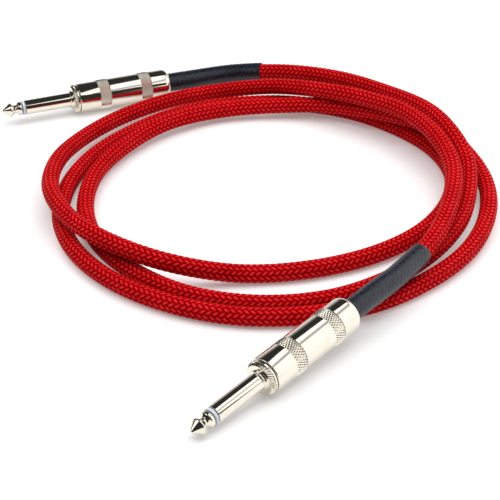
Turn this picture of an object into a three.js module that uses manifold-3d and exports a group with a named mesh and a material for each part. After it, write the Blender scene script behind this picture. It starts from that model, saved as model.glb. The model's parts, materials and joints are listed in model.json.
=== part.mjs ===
// Instrument cable: a red braided lead in a loose coil, with a straight 6.35 mm phone plug on each end.
// Units are millimetres, +Z is up, and the lead lies on z = 0 with the origin under the middle of its box.
// Each plug is built about its own +Y axis, from the tip point at y = 0 to the cable end, then laid in place.

import * as THREE from 'three';
import { mergeVertices } from 'three/addons/utils/BufferGeometryUtils.js';
import Module from 'manifold-3d';

const wasm = await Module();
wasm.setup();

// ---- driving dimensions ----------------------------------------------------------------------------
const GAP = 0.3;                 // clearance between pieces that touch
const RUN = 0.35;                // radial clearance between the screw-on barrel and the plug body

const SHANK_DIAMETER = 6.35;     // standard quarter-inch plug
const SHANK_END = 30.6;          // tip point to the small boss in front of the flange
const TIP_LENGTH = 8.6;          // cone, neck and ball
const TIP_DIAMETER = 6.1;
const NECK_DIAMETER = 3.5;
const INSULATOR_RING = 0.95;     // width of the pale ring between tip and shank
const ROD_DIAMETER = 2.4;
const TUBE_WALL = 0.5;           // insulating tube round the rod

const BOSS_DIAMETER = 7.6;
const BOSS_LENGTH = 1.2;
const FLANGE_INSET = 0.35;       // the flange's rim lies this far inside the barrel's surface
const FLANGE_LENGTH = 2.2;
const FLANGE_CHAMFER = 0.5;
const THREAD_DIAMETER = 10.2;
const THREAD_LENGTH = 6.4;

const BARREL_LENGTH = 43.1;
const BARREL_ROOM = 0.7;         // room between the boot and the barrel's liner
const BARREL_WALL = 0.9;
const BARREL_CORNER = 3.0;       // rounded rear edge
const BARREL_END_WALL = 2.2;
const HOLE_ROOM = 0.45;          // room round the boot in the barrel's rear hole
const BAND_WIDTH = 5.0;          // knurled grip bands
const BAND_STARTS = [9.2, 28.6]; // from the barrel's front edge
const BAND_HEIGHT = 0.1;
const BARREL_CHAMFER = 0.4;      // front edge

const LINER_WALL = 0.4;
const LINER_OVER_ROD = 1;        // the liner starts this far in front of the rod's end
const LINER_OVER_BOOT = 2.4;     // and reaches this far past the boot's hidden end
const WASHER_THICKNESS = 0.8;
const TERMINAL_THICKNESS = 0.6;
const TERMINAL_WIDTH = 3.2;
const LUG_WIDTH = 2.2;
const LUG_LENGTH = 5;
const LUG_INSET = 0.1;           // the lug's outer face lies this far inside the washer's rim
const RIVET_DIAMETER = 4;
const RIVET_LENGTH = 0.9;
const CLAMP_LENGTH = 4.5;        // the ground terminal's wings round the jacket
const CLAMP_START = 1.5;         // from the jacket's cut end
const CLAMP_MOUTH = 0.6;         // the wings end this far above the jacket's middle

const CABLE_DIAMETER = 7.0;
const JACKET_DIAMETER = 5.4;     // jacket under the braid
const JACKET_LENGTH = 8.4;
const CORE_DIAMETER = 2.6;       // insulation round the inner conductor
const CORE_LENGTH = 2.4;
const WIRE_DIAMETER = 0.9;
const WIRE_REACH = 4.1;          // from the rod's end to the core's insulation
const PIGTAIL_DIAMETER = 1.0;
const TIP_BLOB = 0.6;            // radius of each solder joint
const GROUND_BLOB = 0.8;
const TIP_JOINT = 3.9;           // from the lug's front to the joint
const GROUND_JOINT = 1;          // from the core's insulation forward to the joint
const BOOT_WALL = 0.35;          // heat-shrink sleeve
const BOOT_GAP = 0.4;            // clearance between the sleeve and the cable, which bend together
const BOOT_INSIDE = 10;          // boot length hidden in the barrel
const BOOT_OUTSIDE = 45;         // boot length that shows

const ROUND = 36;                // sides of a large turned piece
const SMALL_ROUND = 20;
const CABLE_SIDES = 10;
const CABLE_STEP = 20;           // spacing of the cable tube's rings
const SUB_STEPS = 3;             // boot rings for each cable ring

// The direction in which each plug lies, from its tip to the cable. Its place is the cable's end.
const PLUGS = [
  { name: 'front', direction: [0.6703, 0.7362, 0.0927] },
  { name: 'rear', direction: [0.92, 0.3918, 0] },
];

// Route of the cable's centre line, from inside the front barrel to inside the rear one.
const ROUTE = [
  [27.6, -87.9, 9.05], [44.5, -69.5, 11.25], [60, -50.5, 12], [73, -29.5, 13], [81.5, -6, 14.5],
  [85.5, 18.5, 16], [81.5, 42.5, 18], [72, 64.5, 18], [57.5, 80.5, 16.75], [37.5, 94.5, 14.75],
  [15.5, 108.5, 10.25], [-9.5, 114, 5.25], [-32, 104.5, 4.75], [-51, 87, 5.25],
  [-65.5, 64.5, 6.25], [-73, 39, 8.75], [-72.5, 12, 10.5], [-62.5, -12, 11.25],
  [-46.5, -30, 11.5], [-24, -41.5, 9.5], [1, -40.5, 4.25], [26.5, -37, 3.6], [50.5, -27, 3.6],
  [70, -10.5, 3.6], [83, 11.5, 3.6], [88, 36.5, 3.6], [82, 61.5, 3.6], [67, 82.5, 3.6],
  [46.5, 98, 3.6], [22, 105, 3.6], [-4, 103, 3.6], [-27.5, 92.5, 3.6], [-46, 74.5, 3.6],
  [-60, 53, 3.6], [-67.5, 28.5, 3.6], [-68, 2.5, 3.6], [-60.5, -22, 3.6], [-45.5, -43, 3.6],
  [-24.5, -58.5, 3.6], [-0.5, -67, 3.6], [25.5, -67, 3.6], [50, -59, 3.6], [70.5, -43.5, 3.6],
  [86.5, -24.5, 4], [96.5, -2, 4.75], [100, 21.5, 5.75], [96, 44.5, 7.5], [85.5, 63, 10.75],
  [66, 78.5, 10.75], [42, 93, 8], [17.5, 97.5, 6], [-8, 94, 5.25], [-30.5, 80.5, 5.75],
  [-47, 60, 5], [-57.5, 35.5, 4.5], [-59, 8.5, 3.6], [-52, -16.5, 3.6], [-37.5, -37.5, 3.6],
  [-17, -53.5, 3.6], [8, -60, 3.6], [33.5, -56.5, 3.6], [55.5, -44.5, 4.25], [73, -27.5, 5.5],
  [85, -8.5, 7.5], [91, 12, 9.5], [92.5, 32.5, 13], [87, 50.5, 17.75], [79, 68.5, 18.5],
  [65, 89.5, 16], [46, 109, 13.75], [23.5, 122.5, 11], [-0.5, 130, 7.25], [-24.5, 123, 6.75],
  [-47.7, 113.4, 6.75],
];

// ---- places along a plug, worked out from the dimensions ----------------------------------------------
const shankRadius = SHANK_DIAMETER / 2;
const rodRadius = ROD_DIAMETER / 2;
const tubeBore = rodRadius + GAP;
const tubeRadius = tubeBore + TUBE_WALL;
const bodyBore = tubeRadius + GAP;
const cableRadius = CABLE_DIAMETER / 2;
const bootBore = cableRadius + BOOT_GAP;
const bootRadius = bootBore + BOOT_WALL;
const linerBore = bootRadius + BARREL_ROOM;
const linerRadius = linerBore + LINER_WALL;
const barrelBore = linerRadius + GAP;
const barrelRadius = barrelBore + BARREL_WALL;
const barrelHole = bootRadius + HOLE_ROOM;
const flangeRadius = barrelRadius - FLANGE_INSET;
const threadRadius = THREAD_DIAMETER / 2;

const ringStart = TIP_LENGTH + GAP;
const shankStart = ringStart + INSULATOR_RING + GAP;
const flangeStart = SHANK_END + BOSS_LENGTH;
const flangeEnd = flangeStart + FLANGE_LENGTH;
const bodyEnd = flangeEnd + THREAD_LENGTH;
const groundStart = bodyEnd + GAP;
const washerStart = groundStart + TERMINAL_THICKNESS + GAP;
const lugStart = washerStart + WASHER_THICKNESS + GAP;
const rivetStart = lugStart + TERMINAL_THICKNESS + GAP;
const rodEnd = rivetStart + RIVET_LENGTH + GAP;
const barrelStart = flangeEnd + GAP;
const barrelEnd = barrelStart + BARREL_LENGTH;
const linerStart = rodEnd - LINER_OVER_ROD;
const linerEnd = barrelEnd - BOOT_INSIDE + LINER_OVER_BOOT;
const coreStart = rodEnd + WIRE_REACH;
const coreEnd = coreStart + CORE_LENGTH;
const jacketStart = coreEnd + GAP;
const jacketEnd = jacketStart + JACKET_LENGTH;
const cableStart = jacketEnd + GAP;
const stripInside = JACKET_DIAMETER / 2 + GAP;   // the ground strip runs just outside the jacket
const washerRadius = stripInside - GAP;
const lugMiddle = washerRadius - TERMINAL_THICKNESS / 2 - LUG_INSET;

// ---- materials ---------------------------------------------------------------------------------------
function paint(color, roughness, metalness) {
  return new THREE.MeshStandardMaterial({ color, roughness, metalness });
}

const nickel = paint(0xd9d2c4, 0.18, 1);
const tin = paint(0xc9c9c6, 0.35, 1);
const copper = paint(0xb86b3d, 0.35, 1);
const solder = paint(0xb4b6b8, 0.3, 1);
const paleInsulator = paint(0xd5dde8, 0.45, 0);
const fibre = paint(0x6b4a32, 0.8, 0);
const linerFilm = paint(0x33363a, 0.5, 0);
const coreWhite = paint(0xe8e4da, 0.5, 0);
const jacketBlack = paint(0x17181a, 0.55, 0);
const bootBlack = paint(0x262a33, 0.45, 0);
const redBraid = paint(0xb3101d, 0.6, 0);

// ---- shape helpers -----------------------------------------------------------------------------------
const group = new THREE.Group();

function addPiece(parent, name, geometry, material) {
  const mesh = new THREE.Mesh(geometry, material);
  mesh.name = name;
  parent.add(mesh);
}

// A solid turned about +Y. The outline is a list of [radius, place along the axis].
function turned(outline, sides = ROUND) {
  return new THREE.LatheGeometry(outline.map(([r, y]) => new THREE.Vector2(r, y)), sides);
}

function ringOutline(inner, outer, start, end) {
  return [[inner, start], [outer, start], [outer, end], [inner, end], [inner, start]];
}

function rodOutline(radius, start, end) {
  return [[0, start], [radius, start], [radius, end], [0, end]];
}

function solidOf(geometry) {
  const plain = geometry.clone();
  plain.deleteAttribute('normal');
  plain.deleteAttribute('uv');
  const merged = mergeVertices(plain, 1e-4);
  return new wasm.Manifold(new wasm.Mesh({
    numProp: 3,
    vertProperties: new Float32Array(merged.attributes.position.array),
    triVerts: new Uint32Array(merged.index.array),
  }));
}

function geometryOf(solid) {
  const mesh = solid.getMesh();
  const geometry = new THREE.BufferGeometry();
  geometry.setAttribute('position', new THREE.BufferAttribute(mesh.vertProperties, 3));
  geometry.setIndex(new THREE.BufferAttribute(mesh.triVerts, 1));
  return geometry;
}

function slab(width, length, height, x, y, z) {
  return new THREE.BoxGeometry(width, length, height).translate(x, y + length / 2, z);
}

function polygon(radius, sides) {
  const corners = [];
  for (let i = 0; i < sides; i += 1) {
    const angle = (2 * Math.PI * i) / sides;
    corners.push(new THREE.Vector2(radius * Math.cos(angle), radius * Math.sin(angle)));
  }
  return new THREE.Shape(corners);
}

function tubeAlong(path, radius, steps, sides, holeRadius = 0) {
  const section = polygon(radius, sides);
  if (holeRadius > 0) {
    section.holes.push(new THREE.Path(polygon(holeRadius, sides).getPoints().reverse()));
  }
  return new THREE.ExtrudeGeometry(section, { steps, extrudePath: path, bevelEnabled: false });
}

// The straight runs between rings of the cable's tube, from one count of sub-steps to another, so that what
// is sleeved over the cable bends where the cable does.
class SleeveLine extends THREE.Curve {
  constructor(rings, first, last) {
    super();
    this.rings = rings;
    this.first = first;
    this.last = last;
    this.arcLengthDivisions = last - first;
  }

  getPoint(t, target = new THREE.Vector3()) {
    const place = (this.first + (this.last - this.first) * t) / SUB_STEPS;
    const ring = Math.max(0, Math.min(Math.floor(place), this.rings.length - 2));
    return target.lerpVectors(this.rings[ring], this.rings[ring + 1], place - ring);
  }
}

// ---- pieces of one plug --------------------------------------------------------------------------------
function tipContact() {
  const tip = TIP_DIAMETER / 2;
  const neck = NECK_DIAMETER / 2;
  return turned([
    [0, 0], [0.45, 0.2], [tip - 0.35, 3.0], [tip, 3.5], [tip - 0.15, 4.0], [neck, 5.6], [neck, 6.2],
    [tip - 0.5, 6.9], [tip - 0.05, 7.5], [tip - 0.25, TIP_LENGTH - 0.35], [tip - 0.6, TIP_LENGTH],
    [rodRadius, TIP_LENGTH], [rodRadius, rodEnd], [0, rodEnd],
  ]);
}

function tipInsulator() {
  return turned([
    [tubeBore, ringStart], [shankRadius - 0.1, ringStart], [shankRadius - 0.1, ringStart + INSULATOR_RING],
    [tubeRadius, ringStart + INSULATOR_RING], [tubeRadius, bodyEnd - GAP], [tubeBore, bodyEnd - GAP],
    [tubeBore, ringStart],
  ]);
}

function sleeveBody() {
  const boss = BOSS_DIAMETER / 2;
  return turned([
    [bodyBore, shankStart], [shankRadius, shankStart], [shankRadius, SHANK_END], [boss, SHANK_END],
    [boss, flangeStart], [flangeRadius - FLANGE_CHAMFER, flangeStart],
    [flangeRadius, flangeStart + FLANGE_CHAMFER], [flangeRadius, flangeEnd], [threadRadius, flangeEnd],
    [threadRadius, bodyEnd], [bodyBore, bodyEnd], [bodyBore, shankStart],
  ]);
}

// Ring, strip and cable clamp, cut from one sheet; the clamp's wings are folded round the jacket.
function groundTerminal() {
  const clampStart = jacketStart + CLAMP_START;
  const clampEnd = clampStart + CLAMP_LENGTH;
  const outer = stripInside + TERMINAL_THICKNESS;
  const ring = solidOf(turned(ringOutline(tubeBore, outer, groundStart, groundStart + TERMINAL_THICKNESS)));
  const stripLength = clampEnd - groundStart;
  const stripMiddle = -stripInside - TERMINAL_THICKNESS / 2;
  const strip = solidOf(slab(TERMINAL_WIDTH, stripLength, TERMINAL_THICKNESS, 0, groundStart, stripMiddle));
  const sleeve = solidOf(turned(ringOutline(stripInside, outer, clampStart, clampEnd)));
  const mouthHeight = 2 * outer;
  const mouthMiddle = CLAMP_MOUTH + mouthHeight / 2;
  const mouth = solidOf(slab(mouthHeight, CLAMP_LENGTH + 2, mouthHeight, 0, clampStart - 1, mouthMiddle));
  return geometryOf(ring.add(strip).add(sleeve.subtract(mouth)));
}

// Ring with a solder lug that is bent back along the plug.
function tipTerminal() {
  const ringEnd = lugStart + TERMINAL_THICKNESS;
  const ring = solidOf(turned(ringOutline(tubeBore, washerRadius, lugStart, ringEnd), SMALL_ROUND));
  const lug = solidOf(slab(LUG_WIDTH, LUG_LENGTH, TERMINAL_THICKNESS, 0, lugStart, lugMiddle));
  return geometryOf(ring.add(lug));
}

function barrel() {
  const threadBore = threadRadius + RUN;
  const threadEnd = barrelStart + THREAD_LENGTH + GAP;
  const innerEnd = barrelEnd - BARREL_END_WALL;
  const outline = [
    [threadBore, barrelStart], [barrelRadius - BARREL_CHAMFER, barrelStart],
    [barrelRadius, barrelStart + BARREL_CHAMFER],
  ];
  for (const start of BAND_STARTS) {
    const bandStart = barrelStart + start;
    const bandEnd = bandStart + BAND_WIDTH;
    const bandRadius = barrelRadius + BAND_HEIGHT;
    outline.push(
      [barrelRadius, bandStart], [bandRadius, bandStart + BAND_HEIGHT], [bandRadius, bandEnd - BAND_HEIGHT],
      [barrelRadius, bandEnd],
    );
  }
  const cornerSteps = 4;
  for (let i = 0; i <= cornerSteps; i += 1) {
    const angle = (Math.PI / 2) * (i / cornerSteps);
    outline.push([
      barrelRadius - BARREL_CORNER * (1 - Math.cos(angle)),
      barrelEnd - BARREL_CORNER * (1 - Math.sin(angle)),
    ]);
  }
  if (outline[outline.length - 1][0] > barrelHole) {
    outline.push([barrelHole, barrelEnd]);
  } else {
    outline[outline.length - 1][0] = barrelHole;
  }
  outline.push([barrelHole, innerEnd], [barrelBore, innerEnd], [barrelBore, threadEnd]);
  outline.push([threadBore, threadEnd], [threadBore, barrelStart]);
  return turned(outline);
}

const BLOB_SHAPE = [1.1, 1.3, 0.8];   // a solder joint is wider and longer than it is high

function solderBlob(radius, y, z) {
  return new THREE.SphereGeometry(radius, 12, 8).scale(...BLOB_SHAPE).translate(0, y, z);
}

function buildPlug({ name, direction }, cableEnd, bootGeometry) {
  const plug = new THREE.Group();
  const axis = new THREE.Vector3(...direction).normalize();
  plug.position.set(...cableEnd).addScaledVector(axis, -cableStart);
  const across = new THREE.Vector3().crossVectors(axis, new THREE.Vector3(0, 0, 1)).normalize();
  const upward = new THREE.Vector3().crossVectors(across, axis);
  plug.quaternion.setFromRotationMatrix(new THREE.Matrix4().makeBasis(across, axis, upward));
  group.add(plug);

  const coreRadius = CORE_DIAMETER / 2;
  const jacketRadius = JACKET_DIAMETER / 2;

  const add = (piece, geometry, material) => addPiece(plug, `${name}_${piece}`, geometry, material);
  add('tip_contact', tipContact(), nickel);
  add('tip_insulator', tipInsulator(), paleInsulator);
  add('sleeve_body', sleeveBody(), nickel);
  add('ground_terminal', groundTerminal(), tin);
  const washer = ringOutline(tubeBore, washerRadius, washerStart, washerStart + WASHER_THICKNESS);
  add('terminal_washer', turned(washer, SMALL_ROUND), fibre);
  add('tip_terminal', tipTerminal(), tin);
  const rivet = ringOutline(tubeBore, RIVET_DIAMETER / 2, rivetStart, rivetStart + RIVET_LENGTH);
  add('tip_rivet', turned(rivet, SMALL_ROUND), nickel);
  add('core_insulation', turned(rodOutline(coreRadius, coreStart, coreEnd), SMALL_ROUND), coreWhite);

  const tipJointY = lugStart + TIP_JOINT;
  const tipJointZ = lugMiddle - TERMINAL_THICKNESS / 2 - GAP - BLOB_SHAPE[2] * TIP_BLOB;
  const conductorPath = new THREE.CatmullRomCurve3([
    new THREE.Vector3(0, coreStart - GAP, 0),
    new THREE.Vector3(0, coreStart - 1.1, 0.2),
    new THREE.Vector3(0, tipJointY + BLOB_SHAPE[1] * TIP_BLOB + GAP, tipJointZ),
  ]);
  add('centre_conductor', tubeAlong(conductorPath, WIRE_DIAMETER / 2, 6, 8), copper);
  add('tip_solder', solderBlob(TIP_BLOB, tipJointY, tipJointZ), solder);

  const groundJointY = coreStart - GROUND_JOINT;
  const groundJointZ = -stripInside + GAP + BLOB_SHAPE[2] * GROUND_BLOB;
  const pigtailZ = -coreRadius - GAP - PIGTAIL_DIAMETER / 2 - 0.1;
  const pigtailPath = new THREE.CatmullRomCurve3([
    new THREE.Vector3(0, jacketStart - GAP, pigtailZ),
    new THREE.Vector3(0, jacketStart - 1.4, pigtailZ),
    new THREE.Vector3(0, groundJointY + BLOB_SHAPE[1] * GROUND_BLOB + GAP, groundJointZ),
  ]);
  add('shield_pigtail', tubeAlong(pigtailPath, PIGTAIL_DIAMETER / 2, 6, 8), copper);
  add('ground_solder', solderBlob(GROUND_BLOB, groundJointY, groundJointZ), solder);
  add('jacket_end', turned(rodOutline(jacketRadius, jacketStart, jacketEnd), SMALL_ROUND), jacketBlack);
  add('insulating_liner', turned(ringOutline(linerBore, linerRadius, linerStart, linerEnd)), linerFilm);
  add('barrel', barrel(), nickel);
  addPiece(group, `${name}_shrink_boot`, bootGeometry, bootBlack);
}

// ---- cable, boots and the two plugs ----------------------------------------------------------------------
const centreLine = new THREE.CatmullRomCurve3(
  ROUTE.map((point) => new THREE.Vector3(...point)), false, 'catmullrom', 0.5,
);
centreLine.arcLengthDivisions = 3000;
const cableSteps = Math.round(centreLine.getLength() / CABLE_STEP);
const cableRings = centreLine.getSpacedPoints(cableSteps);
const subStep = centreLine.getLength() / cableSteps / SUB_STEPS;
const lastSubStep = cableSteps * SUB_STEPS;
const bootNear = Math.round((barrelEnd - cableStart - BOOT_INSIDE) / subStep);
const bootFar = Math.round((barrelEnd - cableStart + BOOT_OUTSIDE) / subStep);

PLUGS.forEach((plug, index) => {
  const line = index === 0
    ? new SleeveLine(cableRings, bootNear, bootFar)
    : new SleeveLine(cableRings, lastSubStep - bootFar, lastSubStep - bootNear);
  const boot = tubeAlong(line, bootRadius, bootFar - bootNear, CABLE_SIDES, bootBore);
  buildPlug(plug, ROUTE[index === 0 ? 0 : ROUTE.length - 1], boot);
});
addPiece(group, 'braided_cable', tubeAlong(centreLine, cableRadius, cableSteps, CABLE_SIDES), redBraid);

export default group;
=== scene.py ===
"""Looks of the instrument cable: a red braided lead in a loose coil with a quarter-inch plug on each end.

Sizes are in metres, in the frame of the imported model. Each plug is made about its own axis, which the
frame's joints give, from the tip point towards the cable.
"""

import json
import math

import bmesh
import bpy
import numpy as np
from mathutils import Matrix, Vector


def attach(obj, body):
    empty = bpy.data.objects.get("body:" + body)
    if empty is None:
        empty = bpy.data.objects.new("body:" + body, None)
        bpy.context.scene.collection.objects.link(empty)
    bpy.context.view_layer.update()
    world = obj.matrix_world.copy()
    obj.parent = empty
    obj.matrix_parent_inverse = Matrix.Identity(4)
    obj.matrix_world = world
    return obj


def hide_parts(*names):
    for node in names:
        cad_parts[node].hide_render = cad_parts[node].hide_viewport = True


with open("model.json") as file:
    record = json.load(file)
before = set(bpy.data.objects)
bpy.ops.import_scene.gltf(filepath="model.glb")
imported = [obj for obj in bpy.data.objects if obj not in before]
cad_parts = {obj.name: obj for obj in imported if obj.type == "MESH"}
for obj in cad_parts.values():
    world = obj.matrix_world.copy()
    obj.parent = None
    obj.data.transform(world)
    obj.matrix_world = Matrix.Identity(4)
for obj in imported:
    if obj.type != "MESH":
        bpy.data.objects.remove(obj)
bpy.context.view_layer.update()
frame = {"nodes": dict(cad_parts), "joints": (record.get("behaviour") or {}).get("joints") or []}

MM = 0.001
PLUG_NAMES = ("front", "rear")

# ---- camera ------------------------------------------------------------------------------------------
LOOK_AT = Vector((5.5, -17.0, 0.0)) * MM
CAMERA_DISTANCE = 547 * MM
CAMERA_HEIGHT_ANGLE = math.radians(31)
LENS = 104.2          # millimetres, on a 36 mm frame


def make_camera():
    data = bpy.data.cameras.new("camera")
    data.lens = LENS
    data.sensor_width = 36
    camera = bpy.data.objects.new("camera", data)
    bpy.context.scene.collection.objects.link(camera)
    away = Vector((0, -math.cos(CAMERA_HEIGHT_ANGLE), math.sin(CAMERA_HEIGHT_ANGLE)))
    camera.location = LOOK_AT + away * CAMERA_DISTANCE
    camera.rotation_euler = (math.pi / 2 - CAMERA_HEIGHT_ANGLE, 0, 0)
    bpy.context.scene.camera = camera


make_camera()

# ---- the cable's route -------------------------------------------------------------------------------
# In millimetres until it is scaled. These points weren't chosen by hand: a separate fitting program made
# them, they were rounded, and a few were then moved by hand.
ROUTE = np.array([
    [27.6, -87.9, 9.05], [44.5, -69.5, 11.25], [60, -50.5, 12], [73, -29.5, 13], [81.5, -6, 14.5],
    [85.5, 18.5, 16], [81.5, 42.5, 18], [72, 64.5, 18], [57.5, 80.5, 16.75], [37.5, 94.5, 14.75],
    [15.5, 108.5, 10.25], [-9.5, 114, 5.25], [-32, 104.5, 4.75], [-51, 87, 5.25],
    [-65.5, 64.5, 6.25], [-73, 39, 8.75], [-72.5, 12, 10.5], [-62.5, -12, 11.25],
    [-46.5, -30, 11.5], [-24, -41.5, 9.5], [1, -40.5, 4.25], [26.5, -37, 3.6], [50.5, -27, 3.6],
    [70, -10.5, 3.6], [83, 11.5, 3.6], [88, 36.5, 3.6], [82, 61.5, 3.6], [67, 82.5, 3.6],
    [46.5, 98, 3.6], [22, 105, 3.6], [-4, 103, 3.6], [-27.5, 92.5, 3.6], [-46, 74.5, 3.6],
    [-60, 53, 3.6], [-67.5, 28.5, 3.6], [-68, 2.5, 3.6], [-60.5, -22, 3.6], [-45.5, -43, 3.6],
    [-24.5, -58.5, 3.6], [-0.5, -67, 3.6], [25.5, -67, 3.6], [50, -59, 3.6], [70.5, -43.5, 3.6],
    [86.5, -24.5, 4], [96.5, -2, 4.75], [100, 21.5, 5.75], [96, 44.5, 7.5], [85.5, 63, 10.75],
    [66, 78.5, 10.75], [42, 93, 8], [17.5, 97.5, 6], [-8, 94, 5.25], [-30.5, 80.5, 5.75],
    [-47, 60, 5], [-57.5, 35.5, 4.5], [-59, 8.5, 3.6], [-52, -16.5, 3.6], [-37.5, -37.5, 3.6],
    [-17, -53.5, 3.6], [8, -60, 3.6], [33.5, -56.5, 3.6], [55.5, -44.5, 4.25], [73, -27.5, 5.5],
    [85, -8.5, 7.5], [91, 12, 9.5], [92.5, 32.5, 13], [87, 50.5, 17.75], [79, 68.5, 18.5],
    [65, 89.5, 16], [46, 109, 13.75], [23.5, 122.5, 11], [-0.5, 130, 7.25], [-24.5, 123, 6.75],
    [-47.7, 113.4, 6.75],
]) * MM

CABLE_RADIUS = 3.5 * MM
ROUTE_STEPS = 60      # samples for each span of the route


def spline_through(points, steps):
    """Uniform Catmull-Rom spline through the points, with its ends carried straight on."""
    ends = np.vstack([2 * points[0] - points[1], points, 2 * points[-1] - points[-2]])
    t = np.arange(steps)[:, None] / steps
    spans = []
    for a, b, c, d in zip(ends, ends[1:], ends[2:], ends[3:]):
        spans.append(0.5 * (2 * b + (c - a) * t + (2 * a - 5 * b + 4 * c - d) * t**2
                            + (3 * b - a - 3 * c + d) * t**3))
    return np.vstack([*spans, points[-1:]])


def lengths_along(points):
    return np.concatenate([[0], np.cumsum(np.linalg.norm(np.diff(points, axis=0), axis=1))])


class Line:
    """A smooth line with a frame at each length along it that doesn't twist."""

    def __init__(self, points):
        self.points = points
        self.at = lengths_along(points)
        self.length = self.at[-1]
        tangents = np.gradient(points, self.at, axis=0)
        self.tangents = tangents / np.linalg.norm(tangents, axis=1)[:, None]
        side = np.cross(self.tangents[0], (0, 0, 1))
        side /= np.linalg.norm(side)
        sides = [side]
        for k in range(1, len(points)):
            side = sides[-1] - self.tangents[k] * (sides[-1] @ self.tangents[k])
            sides.append(side / np.linalg.norm(side))
        self.sides = np.array(sides)

    def _pick(self, values, lengths):
        return np.stack([np.interp(lengths, self.at, values[:, k]) for k in range(3)], 1)

    def frames(self, lengths):
        """Centres, and two directions across the line, at these lengths along it."""
        centres = self._pick(self.points, lengths)
        tangents = self._pick(self.tangents, lengths)
        tangents /= np.linalg.norm(tangents, axis=1)[:, None]
        sides = self._pick(self.sides, lengths)
        sides -= tangents * np.sum(sides * tangents, axis=1)[:, None]
        sides /= np.linalg.norm(sides, axis=1)[:, None]
        return centres, sides, np.cross(tangents, sides)


cable_line = Line(spline_through(ROUTE, ROUTE_STEPS))


# ---- mesh helpers ------------------------------------------------------------------------------------
def mesh_object(name, vertices, faces, uvs=None, smooth=True):
    """An object from arrays. uvs is {layer name: one pair for each face corner}."""
    mesh = bpy.data.meshes.new(name)
    vertices = np.asarray(vertices, np.float32)
    faces = np.asarray(faces, np.int32)
    mesh.vertices.add(len(vertices))
    mesh.vertices.foreach_set("co", vertices.ravel())
    corners = faces.shape[1]
    mesh.loops.add(faces.size)
    mesh.loops.foreach_set("vertex_index", faces.ravel())
    mesh.polygons.add(len(faces))
    mesh.polygons.foreach_set("loop_start", np.arange(0, faces.size, corners, dtype=np.int32))
    mesh.update(calc_edges=True)
    mesh.polygons.foreach_set("use_smooth", np.full(len(faces), smooth))
    for layer, pairs in (uvs or {}).items():
        mesh.uv_layers.new(name=layer).data.foreach_set("uv", np.asarray(pairs, np.float32).ravel())
    made = bpy.data.objects.new(name, mesh)
    bpy.context.scene.collection.objects.link(made)
    return made


def grid_faces(rows, columns):
    """Quads of a grid of rows of vertices whose columns close on themselves."""
    r, c = np.meshgrid(np.arange(rows - 1), np.arange(columns), indexing="ij")
    right = (c + 1) % columns
    return np.stack([r * columns + c, r * columns + right, (r + 1) * columns + right,
                     (r + 1) * columns + c], -1).reshape(-1, 4)


def grid_corners(rows, columns):
    """Row and column numbers of each face corner in grid_faces, with the seam's columns unwrapped."""
    r, c = np.meshgrid(np.arange(rows - 1), np.arange(columns), indexing="ij")
    return np.stack([np.stack([r, c], -1), np.stack([r, c + 1], -1), np.stack([r + 1, c + 1], -1),
                     np.stack([r + 1, c], -1)], 2).reshape(-1, 2)


def smooth_by_angle(made, degrees=35):
    """Marks the edges sharper than this as sharp, and smooths the rest."""
    mesh = made.data
    mesh.update()
    normals = np.zeros(len(mesh.polygons) * 3, np.float32)
    mesh.polygons.foreach_get("normal", normals)
    normals = normals.reshape(-1, 3)
    edge_of_corner = np.zeros(len(mesh.loops), np.int32)
    mesh.loops.foreach_get("edge_index", edge_of_corner)
    sizes = np.zeros(len(mesh.polygons), np.int32)
    mesh.polygons.foreach_get("loop_total", sizes)
    face_of_corner = np.repeat(np.arange(len(sizes)), sizes)
    order = np.argsort(edge_of_corner, kind="stable")
    edges, faces = edge_of_corner[order], face_of_corner[order]
    pairs = np.flatnonzero(edges[1:] == edges[:-1])
    cosines = np.sum(normals[faces[pairs]] * normals[faces[pairs + 1]], axis=1)
    sharp = np.zeros(len(mesh.edges), bool)
    sharp[edges[pairs]] = cosines < math.cos(math.radians(degrees))
    attribute = mesh.attributes.get("sharp_edge") or mesh.attributes.new("sharp_edge", "BOOLEAN", "EDGE")
    attribute.data.foreach_set("value", sharp)


# ---- turned pieces -----------------------------------------------------------------------------------
FILLET_STEPS = 5


def filleted(outline):
    """Points of an outline of (radius, place, fillet) corners, with each fillet as an arc."""
    corners = [np.array(p[:2], float) for p in outline]
    made = [corners[0]]
    for k in range(1, len(outline) - 1):
        before, here, after = corners[k - 1], corners[k], corners[k + 1]
        fillet = outline[k][2] if len(outline[k]) > 2 else 0
        if fillet <= 0:
            made.append(here)
            continue
        to_before, to_after = before - here, after - here
        room = 0.48 * min(np.linalg.norm(to_before), np.linalg.norm(to_after))
        to_before /= np.linalg.norm(to_before)
        to_after /= np.linalg.norm(to_after)
        half = math.acos(np.clip(to_before @ to_after, -1, 1)) / 2
        cut = min(fillet / math.tan(half), room)
        radius = cut * math.tan(half)
        between = (to_before + to_after) / np.linalg.norm(to_before + to_after)
        middle = here + between * radius / math.sin(half)
        start, end = here + to_before * cut - middle, here + to_after * cut - middle
        turn = math.atan2(start[0] * end[1] - start[1] * end[0], start @ end)
        for step in range(FILLET_STEPS + 1):
            angle = turn * step / FILLET_STEPS
            c, s = math.cos(angle), math.sin(angle)
            made.append(middle + (c * start[0] - s * start[1], s * start[0] + c * start[1]))
    made.append(corners[-1])
    return np.array(made)


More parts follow.
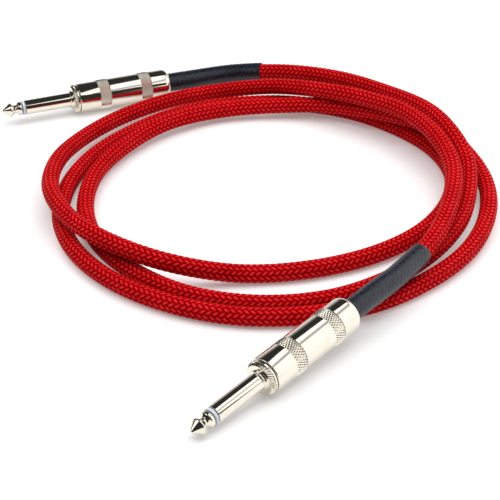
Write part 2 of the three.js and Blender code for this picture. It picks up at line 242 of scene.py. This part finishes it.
def turned(name, points, place, sides=128, closed=False, bump=None):
    """A solid of revolution. points are (radius, place along the axis), from front to rear round the
    outside. bump(radius, place, angle) may move a point's radius. closed joins the last point to the first.
    """
    angles = np.arange(sides) * 2 * math.pi / sides
    start_pole = not closed and points[0][0] < 1e-9
    end_pole = not closed and points[-1][0] < 1e-9
    rings = points[int(start_pole):len(points) - int(end_pole)]
    radii = np.repeat(rings[:, :1], sides, 1)
    along = np.repeat(rings[:, 1:], sides, 1)
    if bump:
        radii = bump(radii, along, angles[None, :])
    vertices = np.stack([radii * np.cos(angles), along, radii * np.sin(angles)], -1).reshape(-1, 3)
    rows = len(rings)
    faces = [tuple(f) for f in grid_faces(rows, sides)]
    if closed:
        last = (rows - 1) * sides
        faces += [(last + c, last + (c + 1) % sides, (c + 1) % sides, c) for c in range(sides)]
    vertices = list(map(tuple, vertices))
    if start_pole:
        vertices.append((0, points[0][1], 0))
        pole = len(vertices) - 1
        faces += [(pole, (c + 1) % sides, c) for c in range(sides)]
    if end_pole:
        vertices.append((0, points[-1][1], 0))
        pole, last = len(vertices) - 1, (rows - 1) * sides
        faces += [(last + c, last + (c + 1) % sides, pole) for c in range(sides)]
    mesh = bpy.data.meshes.new(name)
    mesh.from_pydata(vertices, [], faces)
    mesh.polygons.foreach_set("use_smooth", np.full(len(mesh.polygons), True))
    made = bpy.data.objects.new(name, mesh)
    bpy.context.scene.collection.objects.link(made)
    mesh.transform(place)
    smooth_by_angle(made)
    return made


# ---- materials ---------------------------------------------------------------------------------------
class Nodes:
    """Short forms for building a node material."""

    def __init__(self, name):
        self.material = bpy.data.materials.new(name)
        self.material.use_nodes = True
        self.tree = self.material.node_tree
        self.shader = self.tree.nodes["Principled BSDF"]

    def node(self, kind, settings=None, **inputs):
        made = self.tree.nodes.new(kind)
        for key, value in (settings or {}).items():
            setattr(made, key, value)
        for key, value in inputs.items():
            self.feed(made.inputs[key.replace("_", " ")], value)
        return made

    def feed(self, socket, value):
        if isinstance(value, bpy.types.NodeSocket):
            self.tree.links.new(value, socket)
        else:
            socket.default_value = value

    def math(self, operation, *values):
        made = self.tree.nodes.new("ShaderNodeMath")
        made.operation = operation
        for socket, value in zip(made.inputs, values):
            self.feed(socket, value)
        return made.outputs[0]

    def ramp(self, value, *stops):
        made = self.tree.nodes.new("ShaderNodeValToRGB")
        self.feed(made.inputs[0], value)
        elements = made.color_ramp.elements
        for k, (place, colour) in enumerate(stops):
            element = elements[k] if k < 2 else elements.new(place)
            element.position = place
            element.color = (*colour, 1)
        return made.outputs[0]

    def noise(self, scale, detail=3.0, roughness=0.5, vector=None):
        inputs = {"Scale": scale, "Detail": detail, "Roughness": roughness}
        vector = vector or self.node("ShaderNodeTexCoord").outputs["Object"]
        return self.node("ShaderNodeTexNoise", Vector=vector, **inputs).outputs["Fac"]

    def bump(self, height, strength, distance):
        return self.node("ShaderNodeBump", Height=height, Strength=strength, Distance=distance).outputs[0]

    def set(self, **values):
        for key, value in values.items():
            self.feed(self.shader.inputs[key.replace("_", " ")], value)
        return self.material


def grey(value):
    return (value, value, value)


# The braid has 24 yarns, 12 each way, each passing over two and under two of the others.
YARNS_EACH_WAY = 12
BRAID_LAY = 27.6 * MM          # length in which one yarn goes once round
YARN_THICKNESS = 0.34 * MM
YARN_CRIMP = 0.17 * MM
FILAMENTS_ACROSS = 44.0        # radians of filament ripple across one yarn


def braid_material():
    n = Nodes("red_braid")
    weave_uv = n.node("ShaderNodeUVMap", {"uv_map": "weave"}).outputs[0]
    weave = n.node("ShaderNodeSeparateXYZ", Vector=weave_uv)
    u, v = weave.outputs[0], weave.outputs[1]
    a = n.math("MULTIPLY", n.math("ADD", u, v), YARNS_EACH_WAY)
    b = n.math("MULTIPLY", n.math("SUBTRACT", u, v), YARNS_EACH_WAY)
    i, j = n.math("FLOOR", a), n.math("FLOOR", b)
    turn = n.math("FLOORED_MODULO", n.math("ADD", i, j), 4.0)
    a_on_top = n.math("LESS_THAN", turn, 1.5)
    across = n.math("ADD", n.math("MULTIPLY", a_on_top, n.math("FRACT", a)),
                    n.math("MULTIPLY", n.math("SUBTRACT", 1.0, a_on_top), n.math("FRACT", b)))
    along_a = n.math("MULTIPLY", n.math("FLOORED_MODULO", n.math("ADD", b, i), 4.0), 0.5)
    along_b = n.math("MULTIPLY", n.math("FLOORED_MODULO", n.math("ADD", a, j), 4.0), 0.5)
    along_b = n.math("SUBTRACT", along_b, 1.0)
    along = n.math("ADD", n.math("MULTIPLY", a_on_top, along_a),
                   n.math("MULTIPLY", n.math("SUBTRACT", 1.0, a_on_top), along_b))
    from_middle = n.math("ABSOLUTE", n.math("SUBTRACT", n.math("MULTIPLY", across, 2.0), 1.0))
    from_crown = n.math("ABSOLUTE", n.math("SUBTRACT", n.math("MULTIPLY", along, 2.0), 1.0))
    sides = n.math("SUBTRACT", 1.0, n.math("POWER", from_middle, 3.0))
    ends = n.math("SUBTRACT", 1.0, n.math("POWER", from_crown, 2.5))
    # Crown mask: 1 on the middle of a yarn where it lies on top, falling to 0 at its edges and where it
    # dips under the others. Through the colour ramp below it paints painted shade into the crevices between
    # yarns and a painted highlight on the crowns; it also sets the roughness.
    crown_shade_and_highlight_mask = n.math("MULTIPLY", sides, n.math("ADD", n.math("MULTIPLY", ends, 0.75), 0.25))
    ripple = n.math("SINE", n.math("MULTIPLY", across, FILAMENTS_ACROSS))
    filaments = n.math("MULTIPLY", n.math("ADD", ripple, 1.0), 0.5)
    patches = n.noise(130.0, 3.0)
    specks = n.noise(2600.0, 2.0)
    shade = n.math("ADD", n.math("MULTIPLY", crown_shade_and_highlight_mask, 0.78), n.math("MULTIPLY", filaments, 0.1))
    shade = n.math("ADD", shade, n.math("MULTIPLY", n.math("SUBTRACT", patches, 0.5), 0.25))
    shade = n.math("ADD", shade, n.math("MULTIPLY", n.math("SUBTRACT", specks, 0.5), 0.3))
    # Colour ramp: the dark end is painted shade in the crevices between yarns, and the top stop, paler with
    # more green and blue, is a painted highlight on the crowns. The patches and specks are the yarn's own
    # random tone.
    colour = n.ramp(shade, (0.0, (0.04, 0.0002, 0.0004)), (0.35, (0.26, 0.0005, 0.0012)),
                    (0.65, (0.56, 0.002, 0.005)), (1.0, (0.85, 0.045, 0.05)))
    height = n.math("ADD", n.math("MULTIPLY", filaments, 0.6), n.math("MULTIPLY", specks, 0.4))
    return n.set(Base_Color=colour, Roughness=n.ramp(crown_shade_and_highlight_mask, (0.0, grey(0.7)), (1.0, grey(0.34))),
                 Specular_IOR_Level=0.02, Sheen_Weight=0.005, Sheen_Roughness=0.4,
                 Sheen_Tint=(1.0, 0.25, 0.22, 1), Normal=n.bump(height, 0.35, 0.05 * MM))


def nickel_material(name="polished_nickel", rough=0.055):
    n = Nodes(name)
    haze = n.noise(180.0, 4.0)
    fine = n.noise(5200.0, 2.0)
    tint = n.ramp(haze, (0.3, (0.80, 0.745, 0.64)), (0.7, (0.86, 0.81, 0.71)))
    rough_map = n.ramp(n.noise(420.0, 3.0), (0.3, grey(rough)), (0.75, grey(rough + 0.06)))
    return n.set(Base_Color=tint, Metallic=1.0, Roughness=rough_map,
                 Normal=n.bump(fine, 0.04, 0.01 * MM))


def plain_material(name, dark, light, rough, metallic=0.0, grain=900.0, bump=0.2):
    """A material with fine grain: colour and roughness vary a little and the surface is slightly uneven."""
    n = Nodes(name)
    mottle = n.noise(grain, 4.0)
    return n.set(Base_Color=n.ramp(mottle, (0.3, dark), (0.7, light)), Metallic=metallic,
                 Roughness=n.ramp(mottle, (0.3, grey(rough)), (0.7, grey(min(1, rough + 0.12)))),
                 Normal=n.bump(n.noise(grain * 3, 3.0), bump, 0.03 * MM))


def boot_material():
    """Satin heat-shrink, mottled, with a few scuffs."""
    n = Nodes("heat_shrink_sleeve")
    mottle = n.noise(700.0, 5.0, 0.6)
    scuffs = n.noise(60.0, 4.0)
    colour = n.ramp(n.math("ADD", n.math("MULTIPLY", mottle, 0.6), n.math("MULTIPLY", scuffs, 0.4)),
                    (0.35, (0.005, 0.007, 0.012)), (0.68, (0.017, 0.022, 0.034)))
    return n.set(Base_Color=colour, Roughness=n.ramp(mottle, (0.3, grey(0.25)), (0.7, grey(0.36))),
                 Specular_IOR_Level=0.42, Normal=n.bump(n.noise(1500.0, 3.0), 0.06, 0.04 * MM))


NICKEL = nickel_material()
KNURL_NICKEL = nickel_material("knurled_nickel", 0.14)
BRAID = braid_material()
BOOT = boot_material()
CAD_MATERIALS = {
    "tip_insulator": plain_material("pale_insulator", (0.55, 0.62, 0.72), (0.70, 0.76, 0.85), 0.35),
    "ground_terminal": plain_material("tinned_sheet", (0.55, 0.54, 0.52), (0.72, 0.71, 0.68), 0.28, 1.0),
    "terminal_washer": plain_material("fibre_board", (0.12, 0.055, 0.03), (0.22, 0.11, 0.06), 0.8),
    "core_insulation": plain_material("core_insulation", (0.68, 0.65, 0.58), (0.80, 0.77, 0.70), 0.4),
    "centre_conductor": plain_material("copper_wire", (0.55, 0.22, 0.11), (0.75, 0.34, 0.19), 0.3, 1.0),
    "tip_solder": plain_material("solder", (0.45, 0.46, 0.48), (0.62, 0.63, 0.65), 0.22, 1.0),
    "jacket_end": plain_material("cable_jacket", (0.008, 0.008, 0.009), (0.02, 0.02, 0.022), 0.5),
    "insulating_liner": plain_material("liner_film", (0.02, 0.022, 0.025), (0.04, 0.043, 0.048), 0.45),
}
CAD_MATERIALS["tip_terminal"] = CAD_MATERIALS["ground_terminal"]
CAD_MATERIALS["tip_rivet"] = NICKEL
CAD_MATERIALS["ground_solder"] = CAD_MATERIALS["tip_solder"]
CAD_MATERIALS["shield_pigtail"] = CAD_MATERIALS["centre_conductor"]


def dress(made, material):
    made.data.materials.clear()
    made.data.materials.append(material)


# ---- braided cable -----------------------------------------------------------------------------------
BRAID_SIDES = 72
BRAID_STEPS_PER_STITCH = 7
BAKE_ROWS = 9


def braid_height(u, v):
    """Height of the braid's surface at u turns round and v lays along."""
    a, b = YARNS_EACH_WAY * (u + v), YARNS_EACH_WAY * (u - v)
    i, j = np.floor(a), np.floor(b)

    def yarn(across, phase):
        edge = np.abs(2 * across - 1)
        section = np.sqrt(np.clip(1 - edge**2.4, 0, 1))
        return YARN_CRIMP * np.cos(math.pi / 2 * phase) + YARN_THICKNESS * section

    return np.maximum(yarn(a - i, b + i - 1), yarn(b - j, a + j - 3))


def make_cable():
    stitch = BRAID_LAY / YARNS_EACH_WAY
    rings = int(round(cable_line.length / stitch * BRAID_STEPS_PER_STITCH)) + 1
    lengths = np.linspace(0, cable_line.length, rings)
    centres, sides, ups = cable_line.frames(lengths)
    u = np.arange(BRAID_SIDES) / BRAID_SIDES
    v = lengths / BRAID_LAY
    relief = braid_height(u[None, :], v[:, None])
    radius = CABLE_RADIUS - (YARN_THICKNESS + YARN_CRIMP) + relief
    angle = 2 * math.pi * u
    vertices = (centres[:, None, :] + (radius * np.cos(angle))[..., None] * sides[:, None, :]
                + (radius * np.sin(angle))[..., None] * ups[:, None, :]).reshape(-1, 3)
    faces = grid_faces(rings, BRAID_SIDES)
    corners = grid_corners(rings, BRAID_SIDES)
    row_length = cable_line.length / BAKE_ROWS
    first_ring = np.repeat(corners[::4, 0], 4)
    row = np.minimum(lengths[first_ring] // row_length, BAKE_ROWS - 1)
    bake = np.stack([
        0.005 + 0.985 * (lengths[corners[:, 0]] - row * row_length) / (row_length * 1.01),
        (row + 0.03 + 0.94 * corners[:, 1] / BRAID_SIDES) / BAKE_ROWS,
    ], 1)
    weave = np.stack([corners[:, 1] / BRAID_SIDES, v[corners[:, 0]]], 1)
    cable = mesh_object("cable_braid", vertices, faces, {"OFBake": bake, "weave": weave})
    close_ends(cable, rings, BRAID_SIDES)
    dress(cable, BRAID)
    return cable, centres


def close_ends(made, rings, sides):
    """Adds a flat face over each end of a tube."""
    work = bmesh.new()
    work.from_mesh(made.data)
    work.verts.ensure_lookup_table()
    last = (rings - 1) * sides
    work.faces.new([work.verts[k] for k in range(sides - 1, -1, -1)])
    work.faces.new([work.verts[last + k] for k in range(sides)])
    work.to_mesh(made.data)
    work.free()


# ---- plugs -------------------------------------------------------------------------------------------
SHANK = 6.35 / 2 * MM
SHANK_START = 10.15 * MM
SHANK_END = 30.6 * MM
TIP = 3.05 * MM
NECK = 1.75 * MM
TIP_END = 8.6 * MM
ROD = 1.2 * MM
ROD_END = 47.2 * MM
BOSS = 3.8 * MM
FLANGE_START = 31.8 * MM
FLANGE_END = 34.0 * MM
FLANGE = 6.2 * MM
THREAD = 5.1 * MM
THREAD_PITCH = 1.0 * MM
THREAD_END = 40.4 * MM
THREAD_DEPTH = 0.45 * MM
THREAD_STEP = 0.125 * MM
BODY_BORE = 2.3 * MM
BARREL = 6.55 * MM
BARREL_START = 34.3 * MM
BARREL_END = 77.4 * MM
BARREL_CORNER = 3.0 * MM
BARREL_LIP = 0.25 * MM
CORNER_STEPS = 12
BARREL_HOLE = 4.7 * MM
BARREL_BORE = 5.65 * MM
THREAD_BORE = 5.45 * MM
THREAD_BORE_END = 41.0 * MM
BARREL_END_WALL = 2.2 * MM
BAND_STARTS = (9.2 * MM, 28.6 * MM)
BAND_WIDTH = 5.0 * MM
BAND_HEIGHT = 0.1 * MM
BAND_EDGE = 0.15 * MM
BAND_STEPS = 48
KNURL_DEPTH = 0.4 * MM
KNURL_COUNT = 42
KNURL_SLANT = math.radians(30)
RIM_COUNT = 40
SIDES_PER_MARK = 8             # sides of the turned piece for each stroke or knurl round it
STROKE_DEPTH = 0.34 * MM
MARK_MARGIN = 0.05 * MM        # plain metal left at the edge of a knurled or stroked band
CHAMFER_STEPS = 10
CHAMFER_STEP = 0.08 * MM
RIM_STEP = 0.1 * MM
RIM_START = 5.35 * MM          # radius where the flange's stroked chamfer starts
RIM_LEAN = 0.16 * MM           # how far along the rim a stroke leans over, for each radian of its phase
HINGE_FROM_TIP = 60 * MM       # how far from its tip point each plug's hinge is stated


def plug_place(name):
    """The matrix that lays a plug, built along +Y from its tip point, where the frame's joint says."""
    joint = next(j for j in frame["joints"] if j["name"] == f"{name}_barrel_unscrew")
    axis = Vector(joint["axis"]).normalized()
    tip = Vector(joint["pos_m"]) - axis * HINGE_FROM_TIP
    across = axis.cross(Vector((0, 0, 1))).normalized()
    upward = across.cross(axis)
    turn = Matrix((across, axis, upward)).transposed()
    return Matrix.Translation(tip) @ turn.to_4x4()


def make_tip(name, place):
    points = filleted([
        (0, 0), (0.55 * MM, 0.22 * MM, 0.5 * MM), (TIP, 3.3 * MM, 0.6 * MM), (TIP, 3.75 * MM, 0.5 * MM),
        (NECK, 5.5 * MM, 0.5 * MM), (NECK, 6.2 * MM, 0.6 * MM), (TIP - 0.1 * MM, 7.05 * MM, 0.55 * MM),
        (TIP - 0.1 * MM, 8.25 * MM, 0.4 * MM), (2.2 * MM, TIP_END, 0.1 * MM), (ROD, TIP_END),
        (ROD, ROD_END, 0.1 * MM), (0, ROD_END),
    ])
    tip = turned(f"{name}_tip_and_rod", points, place)
    dress(tip, NICKEL)
    return tip


def thread_and_rim(radii, along, angles):
    """Cuts a screw thread in the boss behind the flange, and slanting strokes in the flange's chamfer."""
    turns = along / THREAD_PITCH - angles / (2 * math.pi)
    tooth = np.abs((turns % 1) - 0.5) * 2
    in_thread = (along > FLANGE_END + 0.3 * MM) & (along < THREAD_END - 0.1 * MM)
    in_thread = in_thread & (radii > THREAD - 0.4 * MM)
    radii = radii - np.where(in_thread, THREAD_DEPTH * tooth, 0)
    stroke = 0.5 + 0.5 * np.cos(RIM_COUNT * angles + (along - FLANGE_START) / RIM_LEAN)
    on_rim = (along > FLANGE_START + MARK_MARGIN) & (along < FLANGE_END - 0.7 * MM)
    on_rim = on_rim & (radii > RIM_START + 0.02 * MM)
    return radii - np.where(on_rim, STROKE_DEPTH * stroke, 0)


def make_body(name, place):
    outline = [
        (BODY_BORE, SHANK_START), (SHANK, SHANK_START, 0.18 * MM), (SHANK, SHANK_END, 0.15 * MM),
        (BOSS, SHANK_END, 0.2 * MM), (BOSS, FLANGE_START, 0.25 * MM), (RIM_START, FLANGE_START, 0.1 * MM),
    ]
    chamfer = [(RIM_START + (FLANGE - RIM_START) * step / CHAMFER_STEPS, FLANGE_START + step * CHAMFER_STEP)
               for step in range(1, CHAMFER_STEPS + 1)]
    rim = chamfer + [(FLANGE, FLANGE_START + step * RIM_STEP) for step in range(9, 20)]
    rear = [(FLANGE, FLANGE_END, 0.12 * MM), (THREAD, FLANGE_END, 0.1 * MM)]
    thread = [(THREAD, FLANGE_END + step * THREAD_STEP) for step in range(2, 51)]
    front = filleted([*outline, rim[0]])
    back = filleted([rim[-1], *rear, thread[0]])
    tail = [(THREAD, THREAD_END), (BODY_BORE, THREAD_END)]
    points = np.vstack([front, rim[1:-1], back, thread[1:], tail])
    body = turned(f"{name}_sleeve", points, place, sides=SIDES_PER_MARK * RIM_COUNT, closed=True,
                  bump=thread_and_rim)
    dress(body, NICKEL)
    return body


def knurl(radii, along, angles):
    """Raises diamond points inside the two grip bands."""
    for start in BAND_STARTS:
        begin = BARREL_START + start
        inside = (along > begin + MARK_MARGIN) & (along < begin + BAND_WIDTH - MARK_MARGIN)
        inside = inside & (radii > BARREL - 0.2 * MM)
        lean = math.tan(KNURL_SLANT) * (along - begin) / BARREL
        one = np.abs(((KNURL_COUNT * (angles + lean) / (2 * math.pi)) % 1) - 0.5) * 2
        other = np.abs(((KNURL_COUNT * (angles - lean) / (2 * math.pi)) % 1) - 0.5) * 2
        cut = KNURL_DEPTH * (1 - np.minimum(one, other))
        radii = np.where(inside, BARREL + BAND_HEIGHT - cut, radii)
    return radii


def make_barrel(name, place):
    points = [np.array([(THREAD_BORE, BARREL_START)])]
    front = filleted([(THREAD_BORE, BARREL_START), (BARREL, BARREL_START, 0.35 * MM),
                      (BARREL, BARREL_START + 2 * MM)])[1:-1]
    points.append(front)
    band_points = []
    for start in BAND_STARTS:
        begin = BARREL_START + start
        band_points.append((BARREL, begin - BAND_EDGE))
        band_points += [(BARREL, begin + BAND_WIDTH * k / BAND_STEPS) for k in range(BAND_STEPS + 1)]
        band_points.append((BARREL, begin + BAND_WIDTH + BAND_EDGE))
    points.append(np.array(band_points))
    last_turn = math.acos(1 - (BARREL - BARREL_HOLE - BARREL_LIP) / BARREL_CORNER)
    for k in range(CORNER_STEPS + 1):
        angle = last_turn * k / CORNER_STEPS
        points.append(np.array([(BARREL - BARREL_CORNER * (1 - math.cos(angle)),
                                 BARREL_END - BARREL_CORNER * (1 - math.sin(angle)))]))
    inner_wall = BARREL_END - BARREL_END_WALL
    points.append(np.array([
        (BARREL_HOLE, points[-1][0, 1] - BARREL_LIP), (BARREL_HOLE, inner_wall), (BARREL_BORE, inner_wall),
        (BARREL_BORE, THREAD_BORE_END), (THREAD_BORE, THREAD_BORE_END),
    ]))
    barrel = turned(f"{name}_barrel_shell", np.vstack(points), place, sides=SIDES_PER_MARK * KNURL_COUNT,
                    closed=True, bump=knurl)
    dress(barrel, NICKEL)
    barrel.data.materials.append(KNURL_NICKEL)
    mark_bands(barrel, place)
    return barrel


def mark_bands(barrel, place):
    """Gives the faces in the grip bands the rougher nickel."""
    back = place.inverted()
    for face in barrel.data.polygons:
        local = back @ face.center
        radius = math.hypot(local.x, local.z)
        for start in BAND_STARTS:
            begin = BARREL_START + start
            if begin < local.y < begin + BAND_WIDTH and radius > BARREL - 0.3 * MM:
                face.material_index = 1


# ---- boots -------------------------------------------------------------------------------------------
BOOT_RADIUS = 4.15 * MM
BOOT_BORE = 3.62 * MM
BOOT_INSIDE = 10 * MM
BOOT_OUTSIDE = 45 * MM
BOOT_SIDES = 96
BOOT_STEP = 0.2 * MM
BOOT_INNER_SKIP = 8            # the bore has one ring for this many of the outside's
RIB_PITCH = 0.85 * MM          # the fine rings that shrinking leaves across the sleeve
RIB_HEIGHT = 0.028 * MM
BOOT_DRAW_IN = 0.22 * MM
BOOT_SAG = 0.05 * MM           # how far the sleeve is from round
BOOT_SHARP_ANGLE = 50
BRAID_SHOWING = 0.35           # share of the braid's relief that shows through the sleeve


def make_boot(name, start, end):
    """A finely ribbed sleeve round the cable, between two lengths along it, drawn in at both ends."""
    rings = int((end - start) / BOOT_STEP) + 1
    lengths = np.linspace(start, end, rings)
    centres, sides, ups = cable_line.frames(lengths)
    u = np.arange(BOOT_SIDES) / BOOT_SIDES
    angle = 2 * math.pi * u
    relief = braid_height(u[None, :], lengths[:, None] / BRAID_LAY) - (YARN_THICKNESS + YARN_CRIMP)
    to_end = np.minimum(lengths - start, end - lengths)[:, None]
    shrink = BOOT_DRAW_IN * np.exp(-to_end / (0.5 * MM))
    sag = BOOT_SAG * np.sin(lengths / (3.1 * MM))[:, None] * np.cos(angle * 2 + 1)[None, :]
    wander = 0.8 * np.sin(lengths / (2.3 * MM)) + 0.5 * np.sin(lengths / (0.9 * MM) + 1)
    lean = 0.9 * np.sin(angle + 0.7)[None, :] + 0.5 * np.sin(3 * angle)[None, :]
    ribs = RIB_HEIGHT * np.sin((2 * math.pi * lengths / RIB_PITCH + wander)[:, None] + lean)
    outer = BOOT_RADIUS + BRAID_SHOWING * relief - shrink + sag + ribs
    inner = np.full_like(outer, BOOT_BORE)

    def shell(radius):
        return (centres[:, None, :] + (radius * np.cos(angle))[..., None] * sides[:, None, :]
                + (radius * np.sin(angle))[..., None] * ups[:, None, :])

    bore_rings = np.unique(np.append(np.arange(0, rings, BOOT_INNER_SKIP), rings - 1))[::-1]
    rows = np.concatenate([shell(outer), shell(inner)[bore_rings]])
    vertices = rows.reshape(-1, 3)
    faces = grid_faces(len(rows), BOOT_SIDES)
    columns = np.arange(BOOT_SIDES)
    nexts = (columns + 1) % BOOT_SIDES
    last = (len(rows) - 1) * BOOT_SIDES
    faces = np.vstack([faces, np.stack([last + columns, last + nexts, nexts, columns], 1)])
    boot = mesh_object(f"{name}_heat_shrink", vertices, faces)
    smooth_by_angle(boot, BOOT_SHARP_ANGLE)
    dress(boot, BOOT)
    return boot


def plug_end_on_cable(name, place):
    """Length along the cable from its end in this plug's barrel to the barrel's rear."""
    end = ROUTE[0] if name == "front" else ROUTE[-1]
    return BARREL_END - (place.inverted() @ Vector(end)).y


# ---- putting the object together ---------------------------------------------------------------------
cable, cable_path = make_cable()
for plug_name in PLUG_NAMES:
    place = plug_place(plug_name)
    tip = make_tip(plug_name, place)
    body = make_body(plug_name, place)
    barrel = make_barrel(plug_name, place)
    rear = plug_end_on_cable(plug_name, place)
    near, far = rear - BOOT_INSIDE, rear + BOOT_OUTSIDE
    if plug_name == "rear":
        near, far = cable_line.length - far, cable_line.length - near
    boot = make_boot(plug_name, near, far)
    for made, node, body_name, slot in (
        (tip, "tip_contact", "root", "nickel"),
        (body, "sleeve_body", "root", "nickel"),
        (barrel, "barrel", f"{plug_name}_screw_barrel", "nickel"),
        (boot, "shrink_boot", "root", "heat_shrink"),
    ):
        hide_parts(f"{plug_name}_{node}")
        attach(made, body_name)
    for node, material in CAD_MATERIALS.items():
        dress(frame["nodes"][f"{plug_name}_{node}"], material)

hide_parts("braided_cable")
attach(cable, "root")


# ---- floor and lights --------------------------------------------------------------------------------
FLOOR_HALF = 4.0
FLOOR_GLOW = 0.22
STUDIO_DARK = 0.03
LEFT_SOFTBOX_PLACE = (-0.44, -0.19, 0.44)
LEFT_SOFTBOX_TARGET = (0, -0.12, 0)
LEFT_SOFTBOX_SIZE = (0.36, 0.42)
LEFT_SOFTBOX_BRIGHTNESS = 1.5
OVERHEAD_PLACE = (-0.15, 0.1, 1.0)
OVERHEAD_SIZE = (1.5, 1.5)
OVERHEAD_BRIGHTNESS = 2.1
SCREEN_TOP = Vector((0.17, 0, 0.42))      # a screen of softboxes leans over the object from its right
SCREEN_FOOT = Vector((0.78, 0, 0.01))
SCREEN_PARTS = (                          # start and end down the screen, its near and far edge, brightness
    ("upper", -0.15, 0.06, -0.28, 0.20, 1.45),
    ("joint", 0.06, 0.16, -0.24, 0.40, 0.50),
    ("lower", 0.16, 0.60, -0.27, 0.50, 1.30),
    ("foot", 0.60, 1.00, -0.60, 0.50, 1.25),
)


def make_floor():
    corners = [(-FLOOR_HALF, -FLOOR_HALF, 0), (FLOOR_HALF, -FLOOR_HALF, 0), (FLOOR_HALF, FLOOR_HALF, 0),
               (-FLOOR_HALF, FLOOR_HALF, 0)]
    floor = mesh_object("floor", corners, [(0, 1, 2, 3)], smooth=False)
    n = Nodes("pale_floor")
    shade = n.ramp(n.noise(2.0, 2.0), (0.3, grey(0.73)), (0.7, grey(0.75)))
    dress(floor, n.set(Base_Color=shade, Roughness=0.9, Specular_IOR_Level=0.05,
                       Emission_Color=(1, 1, 1, 1), Emission_Strength=FLOOR_GLOW))


def area_light(name, place, target, size, radiance, seen_in_metal=True):
    """A rectangular light. size is its width and height, and radiance its brightness in a reflection."""
    data = bpy.data.lights.new(name, "AREA")
    data.shape = "RECTANGLE"
    data.size, data.size_y = size
    data.energy = math.pi * radiance * size[0] * size[1]
    light = bpy.data.objects.new(name, data)
    bpy.context.scene.collection.objects.link(light)
    light.location = place
    light.rotation_euler = (Vector(target) - Vector(place)).to_track_quat("-Z", "Y").to_euler()
    light.visible_glossy = seen_in_metal


def make_world():
    """A dark studio, with a pale sweep that rises behind the object and fades upward."""
    world = bpy.data.worlds.new("studio")
    world.use_nodes = True
    tree = world.node_tree
    place = tree.nodes.new("ShaderNodeTexCoord")
    split = tree.nodes.new("ShaderNodeSeparateXYZ")
    tree.links.new(place.outputs["Generated"], split.inputs[0])
    upward = tree.nodes.new("ShaderNodeValToRGB")
    backward = tree.nodes.new("ShaderNodeValToRGB")
    for ramp, source, stops in (
        (upward, split.outputs[2], ((0.0, 1.0), (0.16, 0.8), (0.34, 0.28), (0.52, 0.0))),
        (backward, split.outputs[1], ((0.15, 0.0), (0.75, 1.0))),
    ):
        tree.links.new(source, ramp.inputs[0])
        for k, (at, value) in enumerate(stops):
            element = ramp.color_ramp.elements[k] if k < 2 else ramp.color_ramp.elements.new(at)
            element.position = at
            element.color = (value, value, value, 1)
    sweep = tree.nodes.new("ShaderNodeMath")
    sweep.operation = "MULTIPLY"
    tree.links.new(upward.outputs[0], sweep.inputs[0])
    tree.links.new(backward.outputs[0], sweep.inputs[1])
    total = tree.nodes.new("ShaderNodeMath")
    total.operation = "MULTIPLY_ADD"
    total.inputs[1].default_value = 1.0
    total.inputs[2].default_value = STUDIO_DARK
    tree.links.new(sweep.outputs[0], total.inputs[0])
    tree.links.new(total.outputs[0], tree.nodes["Background"].inputs[0])
    bpy.context.scene.world = world


make_floor()
make_world()
slope = SCREEN_FOOT - SCREEN_TOP
faces = Vector((slope.z, 0, -slope.x))
for part, start, end, near, far, brightness in SCREEN_PARTS:
    middle = SCREEN_TOP + slope * (start + end) / 2 + Vector((0, (near + far) / 2, 0))
    size = (far - near, slope.length * (end - start))
    area_light(f"softbox_{part}", middle, middle + faces, size, brightness)
area_light("softbox_left", LEFT_SOFTBOX_PLACE, LEFT_SOFTBOX_TARGET, LEFT_SOFTBOX_SIZE,
           LEFT_SOFTBOX_BRIGHTNESS)
area_light("overhead_fill", OVERHEAD_PLACE, (0, 0, 0), OVERHEAD_SIZE, OVERHEAD_BRIGHTNESS,
           seen_in_metal=False)
bpy.context.scene.view_settings.view_transform = "Standard"
